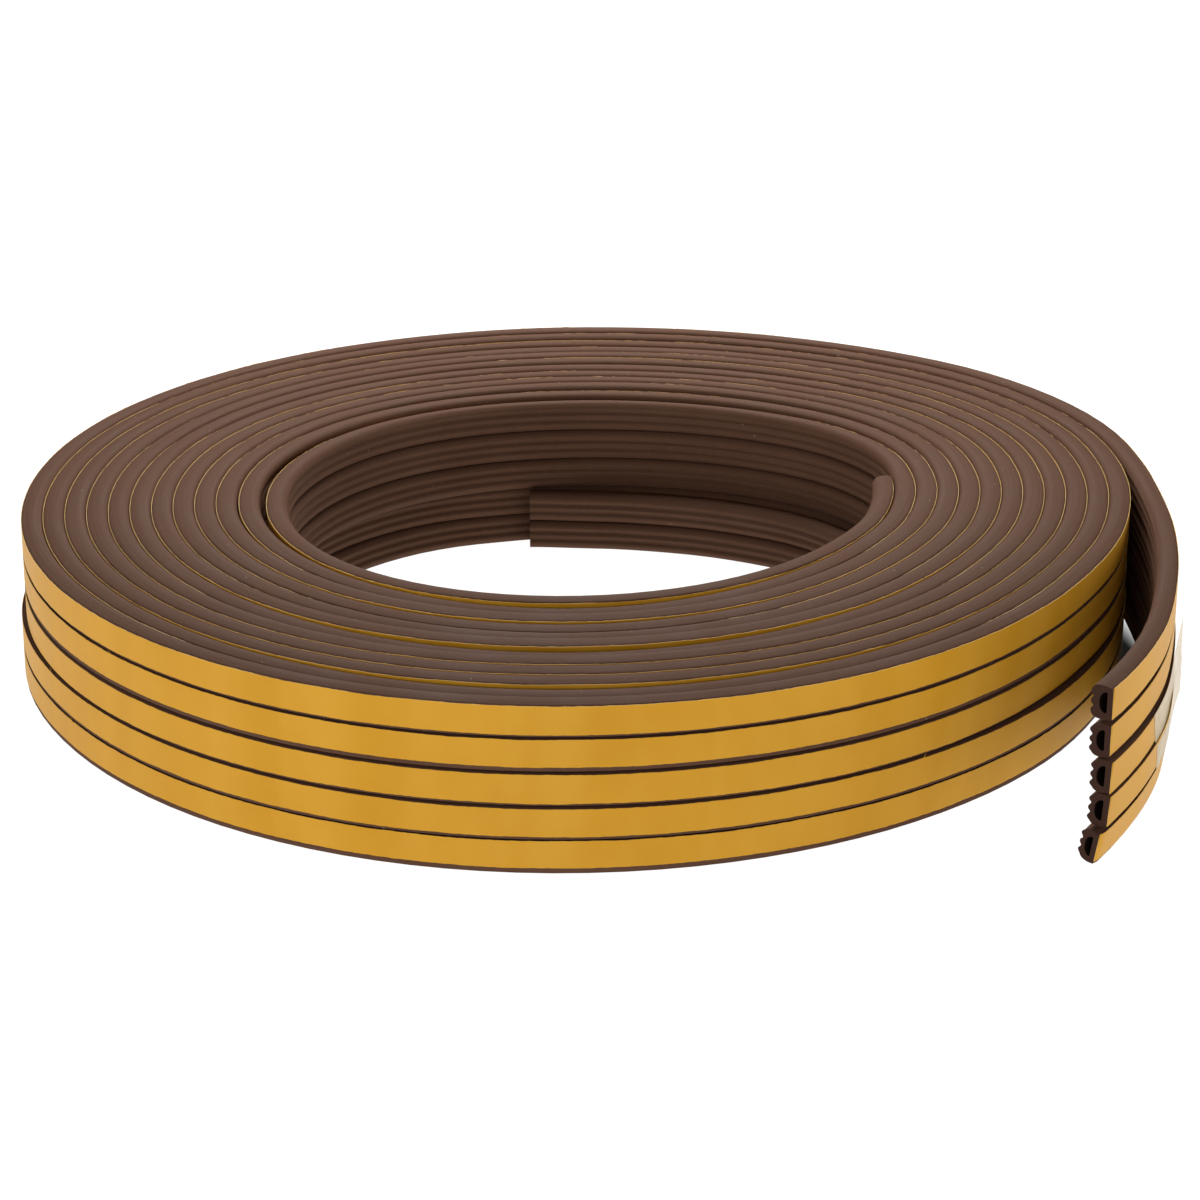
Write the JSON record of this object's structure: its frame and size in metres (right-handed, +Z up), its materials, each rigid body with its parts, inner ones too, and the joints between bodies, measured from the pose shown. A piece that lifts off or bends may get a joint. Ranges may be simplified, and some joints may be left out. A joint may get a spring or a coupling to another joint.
{
  "type": "self-adhesive window seal roll",
  "caption": "Flat roll of hollow D-section rubber window seal strips wound side by side, with release liners on the adhesive backs and a loose outer tail held out by its own spring.",
  "frame": {"origin": "centre of the underside of the whole roll's bounding box; the coil's own axis is at x = -0.0036, y = 0", "axes": "+Z up along the coil's axis, +X along the longest extent towards the side where the loose tail leaves the coil"},
  "size_m": [0.316, 0.3088, 0.0462],
  "materials": {
    "rubber_brown": "dark brown rubber, matt with a soft sheen",
    "liner_amber": "golden amber siliconised release paper, satin",
    "film_clear": "clear adhesive film, slightly milky"
  },
  "bodies": {
    "root": {"seal_strip_1": "rubber_brown", "seal_strip_2": "rubber_brown", "seal_strip_3": "rubber_brown", "seal_strip_4": "rubber_brown", "seal_strip_5": "rubber_brown", "release_liner_1": "liner_amber", "release_liner_2": "liner_amber", "release_liner_3": "liner_amber", "release_liner_4": "liner_amber", "release_liner_5": "liner_amber", "closing_tape": "film_clear"}
  },
  "joints": []
}
